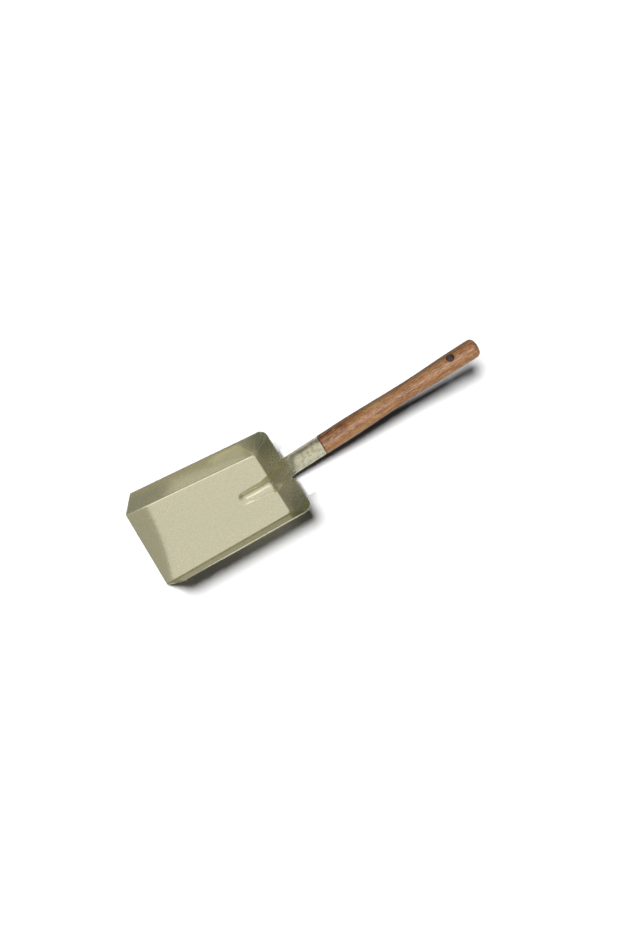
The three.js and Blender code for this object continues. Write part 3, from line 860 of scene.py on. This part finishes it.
FIT_GAP = 0.3
GRIP_LENGTH = 196.85          # a hair short of the frame's
SHOULDER_RADIUS = 11.1
SWELL_RADIUS = 11.2
SWELL_AT = 40.0
WAIST_RADIUS = 9.8
WAIST_AT = 110.0
END_RADIUS = 10.75
END_ROUND = 6.0
END_FLAT_RADIUS = 4.0
SHOULDER_CHAMFER = 0.5
TENON_LENGTH = 30.0
TENON_CHAMFER = 1.5
TENON_RINGS_FROM = -20.0
TENON_RINGS = 6
HOLE_RADIUS = 4.3
HOLE_FROM_END = 32.0
HOLE_TURN = math.radians(12)  # the grip sits turned this far in the socket
HOLE_ROUND = 0.7
PATCH_REACH = 7.0             # half length of the wood's patch that holds the hole
GRIP_STEP = 1.6
ROUND_COLUMNS = 96
PATCH_TURN = 16               # columns on either side of the hole's middle
ROUND_STEPS = 8
PATCH_RINGS = 10
PATCH_CROWDING = 1.3          # the power that draws the patch's rings towards the hole
LIP_RINGS = 4
BORE_RINGS = 12

hole_at = GRIP_LENGTH - HOLE_FROM_END


def through_points(at, places, values):
    """A smooth line through points: cubic pieces whose slope at each point is that of its
    neighbours, and level at the two ends."""
    places, values = np.array(places), np.array(values)
    slope = np.zeros(len(places))
    slope[1:-1] = (values[2:] - values[:-2]) / (places[2:] - places[:-2])
    piece = np.clip(np.searchsorted(places, at, side="right") - 1, 0, len(places) - 2)
    width = places[piece + 1] - places[piece]
    t = (at - places[piece]) / width
    rising = (2 * t ** 3 - 3 * t ** 2 + 1) * values[piece]
    rising += (3 * t ** 2 - 2 * t ** 3) * values[piece + 1]
    leaning = (t ** 3 - 2 * t ** 2 + t) * slope[piece] + (t ** 3 - t ** 2) * slope[piece + 1]
    return rising + leaning * width


def grip_radius(at):
    """Radius of the grip at a distance from the socket's mouth."""
    places = [FIT_GAP + SHOULDER_CHAMFER, SWELL_AT, WAIST_AT, hole_at, GRIP_LENGTH - END_ROUND]
    values = [SHOULDER_RADIUS, SWELL_RADIUS, WAIST_RADIUS, END_RADIUS, END_RADIUS]
    return through_points(at, places, values)


def turned_grid(at, radius, columns):
    """A surface of revolution about +X: rings of the given radius at each distance."""
    angle = np.linspace(0, 2 * math.pi, columns + 1)
    return np.stack([at[:, None] + 0 * angle, radius[:, None] * np.cos(angle),
                     radius[:, None] * np.sin(angle)], axis=2)


def on_socket_axis(points):
    """Carries points made about +X to the socket's axis, with zero at the mouth."""
    x, y, z = points[..., 0], points[..., 1], points[..., 2]
    c, s = math.cos(SOCKET_TILT), math.sin(SOCKET_TILT)
    return np.stack([mouth_x + x * c - z * s, y, mouth_z + x * s + z * c], axis=-1)


def turned_in_socket(points):
    """Turns the grip about its own axis, so that its hole leans to the left, and carries it to
    the socket's axis."""
    x, y, z = points[..., 0], points[..., 1], points[..., 2]
    c, s = math.cos(HOLE_TURN), math.sin(HOLE_TURN)
    return on_socket_axis(np.stack([x, y * c + z * s, z * c - y * s], axis=-1))


def hole_patch(side):
    """The wood's surface round one end of the hole, as rings: the innermost is the hole's edge,
    the outermost the straight border of the patch, and each ring between is a mixture of a
    circle and that border. Every point is then lifted to the turned surface."""
    turn = PATCH_TURN * 2 * math.pi / ROUND_COLUMNS
    rows = np.linspace(-1, 1, round(2 * PATCH_REACH / GRIP_STEP) + 1)
    columns = np.linspace(-1, 1, 2 * PATCH_TURN + 1)
    border = np.concatenate([
        np.stack([rows, 0 * rows - 1], 1)[:-1], np.stack([0 * columns + 1, columns], 1)[:-1],
        np.stack([-rows, 0 * rows + 1], 1)[:-1], np.stack([0 * columns - 1, -columns], 1)])
    border_along = border[:, 0] * PATCH_REACH
    border_angle = border[:, 1] * turn
    border_across = np.sin(border_angle) * grip_radius(hole_at + border_along)
    facing = np.arctan2(border_across, border_along)
    edge = HOLE_RADIUS + HOLE_ROUND
    share = np.linspace(0, 1, PATCH_RINGS + 1)[:, None] ** PATCH_CROWDING
    along = lerp(edge * np.cos(facing), border_along, share)
    across = lerp(edge * np.sin(facing), border_across, share)
    radius = grip_radius(hole_at + along)
    up = np.sqrt(radius ** 2 - across ** 2)
    surface = np.stack([hole_at + along, across, side * up], axis=2)
    lip_turn = np.linspace(math.pi / 2, 0, LIP_RINGS + 1)[:-1, None]
    ring = HOLE_RADIUS + HOLE_ROUND * (1 - np.sin(lip_turn))
    edge_radius = grip_radius(hole_at + edge * np.cos(facing))
    edge_up = np.sqrt(edge_radius ** 2 - (edge * np.sin(facing)) ** 2)
    lip = np.stack([hole_at + ring * np.cos(facing), ring * np.sin(facing),
                    side * (edge_up - HOLE_ROUND * (1 - np.cos(lip_turn)))], axis=2)
    return np.concatenate([lip, surface])


def handle_points():
    """All grids of the handle: the tenon and shoulder, the grip with its two patches left out,
    the rounded end, the patches and the bore between them."""
    tenon = SOCKET_RADIUS - SHEET - FIT_GAP
    patch_low, patch_high = hole_at - PATCH_REACH, hole_at + PATCH_REACH
    start = FIT_GAP + SHOULDER_CHAMFER
    before = np.linspace(start, patch_low, round((patch_low - start) / GRIP_STEP), endpoint=False)
    patch = np.linspace(patch_low, patch_high, round(2 * PATCH_REACH / GRIP_STEP) + 1)
    last = GRIP_LENGTH - END_ROUND
    after = np.linspace(patch_high, last, round((last - patch_high) / GRIP_STEP) + 1)[1:]
    turn = np.linspace(0, math.pi / 2, ROUND_STEPS + 1)[1:]
    at = np.concatenate([
        [-TENON_LENGTH, -TENON_LENGTH, TENON_CHAMFER - TENON_LENGTH],
        np.linspace(TENON_RINGS_FROM, FIT_GAP, TENON_RINGS), [FIT_GAP], before, patch, after,
        last + END_ROUND * np.sin(turn), [GRIP_LENGTH]])
    radius = np.concatenate([
        [0, tenon - TENON_CHAMFER, tenon], np.full(TENON_RINGS, tenon),
        [SHOULDER_RADIUS - SHOULDER_CHAMFER], grip_radius(before), grip_radius(patch),
        grip_radius(after),
        END_FLAT_RADIUS + (END_RADIUS - END_FLAT_RADIUS) * np.cos(turn), [0]])
    body = turned_grid(at, radius, ROUND_COLUMNS)
    keep = np.ones((len(at) - 1, ROUND_COLUMNS), dtype=bool)
    middle = (at[:-1] + at[1:]) / 2
    rows = np.flatnonzero((middle > patch_low) & (middle < patch_high))
    quarter = ROUND_COLUMNS // 4
    for centre in (quarter, 3 * quarter):
        keep[np.ix_(rows, np.arange(centre - PATCH_TURN, centre + PATCH_TURN))] = False
    grids = [(body, keep)]
    rims = {}
    for side in (1, -1):
        sheet = hole_patch(side)
        rims[side] = sheet[0]
        grids.append((sheet, np.ones((sheet.shape[0] - 1, sheet.shape[1] - 1), dtype=bool)))
    share = np.linspace(0, 1, BORE_RINGS + 1)[:, None, None]
    bore = lerp(rims[1][None], rims[-1][None], share)
    grids.append((bore, np.ones((bore.shape[0] - 1, bore.shape[1] - 1), dtype=bool)))
    return grids


def piece_from_grids(name, lit_with, grids, carry):
    """One closed mesh from several grids that share their borders."""
    points, quads, first = [], [], 0
    for grid, keep in grids:
        points.append(carry(grid).reshape(-1, 3))
        quads.append(grid_faces(keep, first))
        first += grid.shape[0] * grid.shape[1]
    return make_piece(name, lit_with, np.concatenate(points), np.concatenate(quads))


def face_outward(piece):
    """Turns every face of a closed mesh to the outside."""
    shape = bmesh.new()
    shape.from_mesh(piece.data)
    bmesh.ops.recalc_face_normals(shape, faces=shape.faces)
    shape.to_mesh(piece.data)
    shape.free()


WOOD_LIGHT = srgb(208, 164, 114)
WOOD_MIDDLE = srgb(172, 117, 72)
WOOD_DARK = srgb(104, 60, 34)
BROAD_TONES = 70              # a metre across the grain, as are the next three
WOOD_STREAKS = 260
WOOD_FLECKS = 700
WOOD_PORES = 1100
STREAK_STRETCH = 0.12         # scale along the grip, which draws the pattern out
PORE_STRETCH = 0.22
STREAK_SHARE = 0.6            # of the tone; the broad clouds give the rest
TONE_DARK = 0.36              # tones at which the wood is dark, middling and light
TONE_MIDDLE = 0.52
TONE_LIGHTENS = 0.5
TONE_LIGHT = 0.68
SPOT_LOW = 0.5                # noise values where pores and flecks begin and are full
SPOT_HIGH = 0.64
PORE_SHARE = 0.7
FLECK_SHARE = 0.8
WOOD_DULL = 0.6
WOOD_SHINE = 0.3
VARNISH_SHARE = 0.5
VARNISH_DULL = 0.45
STREAK_RELIEF = 0.15
# painted shade, for the socket's mouth and the inside of the hole
JOINT_AND_BORE_SHADE = srgb(66, 40, 27)
JOINT_DARK = 0.0006           # painted shade darkens the wood this near the socket's mouth
JOINT_CLEAR = 0.0016
JOINT_SHARE = 0.85
END_DARKENS = 0.004           # painted shade darkens the grip's end from this far
END_DARK = 0.0005
END_SHARE = 0.6
BORE_SHARE = 0.9              # how dark the painted shade inside the hole is
socket_run = (mouth_x - FLOOR_LENGTH / 2) * math.cos(SOCKET_TILT)
mouth_along = (socket_run + mouth_z * math.sin(SOCKET_TILT)) * MM


def varnished_wood():
    """Reddish hardwood under a thin varnish: long streaks of tone, short dark pores and light
    flecks, all drawn out along the handle, with painted shade darkening its end, the joint and the
    hole."""
    look = bpy.data.materials.new("varnished_wood")
    n = Nodes(look)
    place = n.add("ShaderNodeTexCoord").outputs["Object"]
    turned = n.add("ShaderNodeMapping", Vector=place, Rotation=(0, SOCKET_TILT, 0)).outputs[0]
    along = n.add("ShaderNodeMapping", Vector=turned, Scale=(STREAK_STRETCH, 1, 1)).outputs[0]
    fine = n.add("ShaderNodeMapping", Vector=turned, Scale=(PORE_STRETCH, 1, 1)).outputs[0]
    streaks = n.noise(along, WOOD_STREAKS, detail=4, roughness=0.6)
    broad = n.noise(along, BROAD_TONES)
    pores = n.noise(fine, WOOD_PORES, roughness=0.7)
    tone = n.math("ADD", n.math("MULTIPLY", streaks, STREAK_SHARE),
                  n.math("MULTIPLY", broad, 1 - STREAK_SHARE))
    colour = n.blend(n.spread(tone, TONE_DARK, TONE_MIDDLE), WOOD_DARK, WOOD_MIDDLE)
    colour = n.blend(n.spread(tone, TONE_LIGHTENS, TONE_LIGHT), colour, WOOD_LIGHT)
    in_pore = n.spread(pores, SPOT_LOW, SPOT_HIGH, 0.0, PORE_SHARE)
    colour = n.blend(in_pore, colour, WOOD_DARK)
    flecks = n.noise(fine, WOOD_FLECKS, detail=3, roughness=0.7)
    in_fleck = n.spread(flecks, SPOT_LOW, SPOT_HIGH, 0.0, FLECK_SHARE)
    colour = n.blend(in_fleck, colour, WOOD_LIGHT)
    from_mouth = n.add("ShaderNodeSeparateXYZ", Vector=turned).outputs["X"]
    grip_end = mouth_along + GRIP_LENGTH * MM
    # painted shade: the grip's last few millimetres are darkened towards its end
    end_shade = n.spread(from_mouth, grip_end - END_DARKENS, grip_end - END_DARK, 0.0, END_SHARE)
    colour = n.blend(end_shade, colour, WOOD_DARK)
    # painted shade: a dark ring on the wood at the socket's mouth
    joint_shade = n.spread(from_mouth, mouth_along + JOINT_DARK, mouth_along + JOINT_CLEAR,
                        JOINT_SHARE, 0.0)
    colour = n.blend(joint_shade, colour, JOINT_AND_BORE_SHADE)
    # painted shade: the inside of the hole is darkened
    about_hole = n.add("ShaderNodeMapping", Vector=turned, Rotation=(HOLE_TURN, 0, 0),
                       Location=(-mouth_along - hole_at * MM, 0, 0)).outputs[0]
    across_hole = n.add("ShaderNodeMapping", Vector=about_hole, Scale=(1, 1, 0)).outputs[0]
    from_hole = n.add("ShaderNodeVectorMath", {"operation": "LENGTH"}, i0=across_hole)
    bore_shade = n.spread(from_hole.outputs["Value"], HOLE_RADIUS * MM,
                       (HOLE_RADIUS + HOLE_ROUND) * MM, BORE_SHARE, 0.0)
    colour = n.blend(bore_shade, colour, JOINT_AND_BORE_SHADE)
    shell = n.add("ShaderNodeBsdfPrincipled", Base_Color=colour, Roughness=WOOD_DULL,
                  Specular_IOR_Level=WOOD_SHINE, Coat_Weight=VARNISH_SHARE,
                  Coat_Roughness=VARNISH_DULL)
    bump = n.add("ShaderNodeBump", Height=streaks, Strength=STREAK_RELIEF, Distance=RELIEF_DEPTH)
    n.join(bump.outputs[0], shell.inputs["Normal"])
    n.add("ShaderNodeOutputMaterial", Surface=shell.outputs[0])
    return look


handle = piece_from_grids("turned_handle", wood_parts, handle_points(), turned_in_socket)
face_outward(handle)
handle.data.materials.append(varnished_wood())
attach(handle, "root")
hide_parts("handle")

# Fixing nail
# A round-headed steel nail, driven through the socket's underside beside the seam into the
# tenon.

NAIL_FROM_MOUTH = 13.0
NAIL_TURN = math.radians(40)
NAIL_SHANK_RADIUS = 1.1
NAIL_HEAD_RADIUS = 2.8
NAIL_HEAD_HEIGHT = 1.2
NAIL_LENGTH = 12.0
NAIL_POINT = 2.0
NAIL_COLUMNS = 48
NAIL_DOME_RINGS = 10


def nail_grid():
    """The nail turned about +X: a domed head, a flat under it, the shank and its point."""
    seat = -SOCKET_RADIUS - FIT_GAP
    tip = -SOCKET_RADIUS + NAIL_LENGTH
    dome_turn = np.linspace(0, math.pi / 2, NAIL_DOME_RINGS)
    at = np.concatenate([
        seat - NAIL_HEAD_HEIGHT * np.cos(dome_turn), [seat, tip - NAIL_POINT, tip]])
    radius = np.concatenate([
        NAIL_HEAD_RADIUS * np.sin(dome_turn), [NAIL_SHANK_RADIUS, NAIL_SHANK_RADIUS, 0]])
    return turned_grid(at, radius, NAIL_COLUMNS)


def beside_seam(points):
    """Carries the nail to its place: square to the socket's axis, turned round it from below."""
    depth, y, along = points[..., 0], points[..., 1], -points[..., 2]
    c, s = math.cos(NAIL_TURN), math.sin(NAIL_TURN)
    turned = np.stack([along - NAIL_FROM_MOUTH, y * c - depth * s, y * s + depth * c], axis=-1)
    return on_socket_axis(turned)


STEEL_DARK = srgb(150, 149, 145)
STEEL_LIGHT = srgb(176, 175, 170)
STEEL_CLOUDS = 700            # a metre
CLOUD_LOW = 0.3
CLOUD_HIGH = 0.7
STEEL_DULL_LEAST = 0.3
STEEL_DULL_MOST = 0.45


def bright_steel():
    """Plain drawn steel with faint dulling."""
    look = bpy.data.materials.new("bright_steel")
    n = Nodes(look)
    place = n.add("ShaderNodeTexCoord").outputs["Object"]
    clouds = n.noise(place, STEEL_CLOUDS)
    colour = n.blend(n.spread(clouds, CLOUD_LOW, CLOUD_HIGH), STEEL_DARK, STEEL_LIGHT)
    dull = n.spread(clouds, CLOUD_LOW, CLOUD_HIGH, STEEL_DULL_LEAST, STEEL_DULL_MOST)
    shell = n.add("ShaderNodeBsdfPrincipled", Base_Color=colour, Metallic=1.0, Roughness=dull)
    n.add("ShaderNodeOutputMaterial", Surface=shell.outputs[0])
    return look


nail_mesh = nail_grid()
nail = piece_from_grids("round_head_nail", metal_parts,
                        [(nail_mesh, np.ones((nail_mesh.shape[0] - 1, NAIL_COLUMNS), dtype=bool))],
                        beside_seam)
face_outward(nail)
nail.data.materials.append(bright_steel())
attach(nail, "root")
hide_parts("handle_nail")
